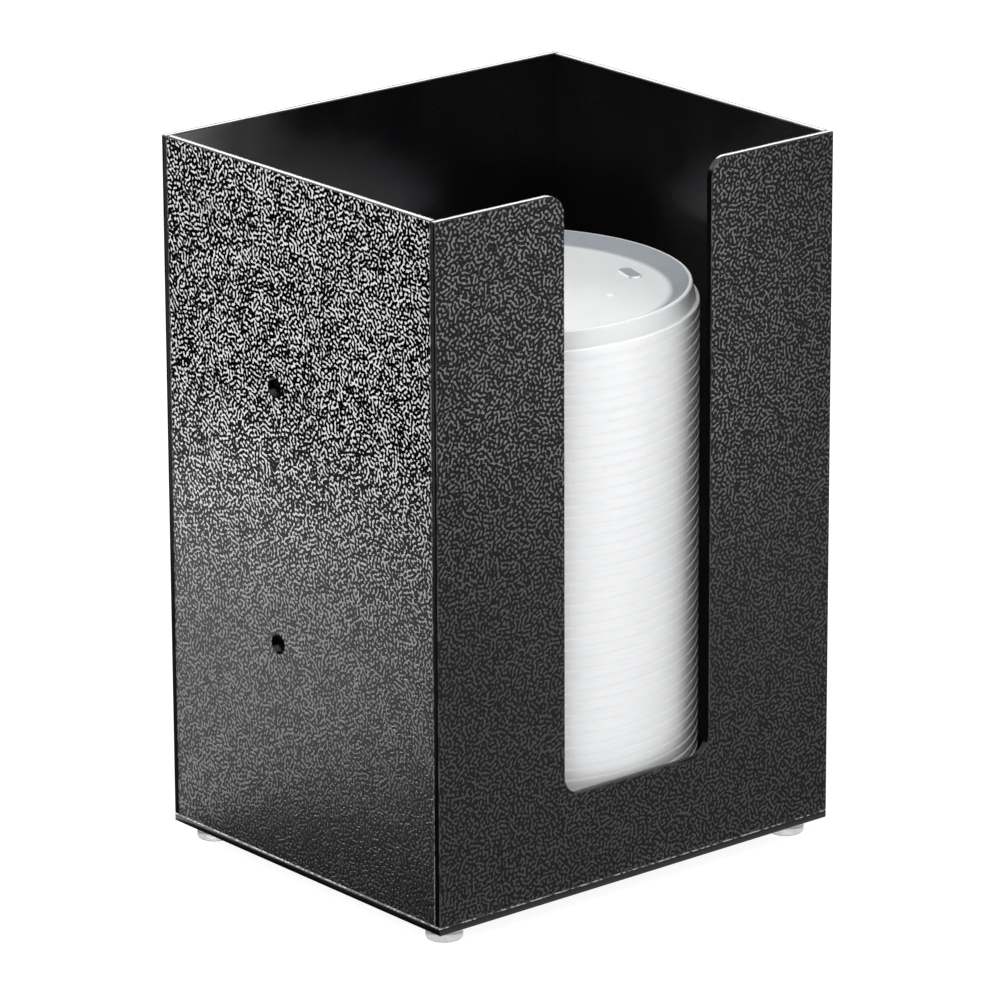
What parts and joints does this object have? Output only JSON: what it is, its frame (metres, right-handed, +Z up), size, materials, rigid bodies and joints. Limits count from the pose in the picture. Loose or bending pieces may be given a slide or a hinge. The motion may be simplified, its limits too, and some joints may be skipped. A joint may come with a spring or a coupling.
{
  "type": "countertop lid and napkin dispenser",
  "caption": "Open-topped black textured plastic counter bin with a tall front slot, side fastening holes and clear bumpers, holding a nested stack of round translucent lids.",
  "frame": {"origin": "middle of the footprint, on the surface the bumpers stand on", "axes": "+X to the right along the slotted front, +Y from the front to the back, +Z up"},
  "size_m": [0.1524, 0.127, 0.2207],
  "materials": {
    "textured_black_sheet": "haircell grain outside, smooth satin inside",
    "clear_bumper": "clear, glossy",
    "translucent_lid": "milky, soft gloss"
  },
  "bodies": {
    "bin": {"base_panel": "textured_black_sheet", "front_panel": "textured_black_sheet", "back_panel": "textured_black_sheet", "left_side_panel": "textured_black_sheet", "right_side_panel": "textured_black_sheet", "foot_front_left": "clear_bumper", "foot_front_right": "clear_bumper", "foot_back_left": "clear_bumper", "foot_back_right": "clear_bumper"},
    "lid_stack": {"lid_01": "translucent_lid", "lid_02": "translucent_lid", "lid_03": "translucent_lid", "lid_04": "translucent_lid", "lid_05": "translucent_lid", "lid_06": "translucent_lid", "lid_07": "translucent_lid", "lid_08": "translucent_lid", "lid_09": "translucent_lid", "lid_10": "translucent_lid", "lid_11": "translucent_lid", "lid_12": "translucent_lid", "lid_13": "translucent_lid", "lid_14": "translucent_lid", "lid_15": "translucent_lid", "lid_16": "translucent_lid", "lid_17": "translucent_lid", "lid_18": "translucent_lid", "lid_19": "translucent_lid", "lid_20": "translucent_lid", "lid_21": "translucent_lid", "lid_22": "translucent_lid", "lid_23": "translucent_lid", "lid_24": "translucent_lid", "lid_25": "translucent_lid", "lid_26": "translucent_lid", "lid_27": "translucent_lid", "lid_28": "translucent_lid", "lid_29": "translucent_lid", "lid_30": "translucent_lid", "lid_31": "translucent_lid", "lid_32": "translucent_lid", "lid_33": "translucent_lid", "lid_34": "translucent_lid", "lid_35": "translucent_lid", "lid_36": "translucent_lid", "lid_37": "translucent_lid", "lid_38": "translucent_lid", "lid_39": "translucent_lid", "lid_40": "translucent_lid"},
    "lid_41": {"lid_41": "translucent_lid"},
    "lid_42": {"lid_42": "translucent_lid"},
    "lid_43": {"lid_43": "translucent_lid"},
    "lid_44": {"lid_44": "translucent_lid"},
    "lid_45": {"lid_45": "translucent_lid"},
    "lid_46": {"lid_46": "translucent_lid"},
    "lid_47": {"lid_47": "translucent_lid"},
    "lid_48": {"lid_48": "translucent_lid"}
  },
  "joints": [
    {"name": "lift_lid_stack", "type": "slide", "parent": "bin", "child": "lid_stack", "axis": [0, 0, 1], "range_m": [0, 0.22]},
    {"name": "lift_lid_41", "type": "slide", "parent": "lid_stack", "child": "lid_41", "axis": [0, 0, 1], "range_m": [0, 0.082]},
    {"name": "lift_lid_42", "type": "slide", "parent": "lid_41", "child": "lid_42", "axis": [0, 0, 1], "range_m": [0, 0.079]},
    {"name": "lift_lid_43", "type": "slide", "parent": "lid_42", "child": "lid_43", "axis": [0, 0, 1], "range_m": [0, 0.075]},
    {"name": "lift_lid_44", "type": "slide", "parent": "lid_43", "child": "lid_44", "axis": [0, 0, 1], "range_m": [0, 0.072]},
    {"name": "lift_lid_45", "type": "slide", "parent": "lid_44", "child": "lid_45", "axis": [0, 0, 1], "range_m": [0, 0.068]},
    {"name": "lift_lid_46", "type": "slide", "parent": "lid_45", "child": "lid_46", "axis": [0, 0, 1], "range_m": [0, 0.065]},
    {"name": "lift_lid_47", "type": "slide", "parent": "lid_46", "child": "lid_47", "axis": [0, 0, 1], "range_m": [0, 0.062]},
    {"name": "lift_lid_48", "type": "slide", "parent": "lid_47", "child": "lid_48", "axis": [0, 0, 1], "range_m": [0, 0.058]}
  ]
}
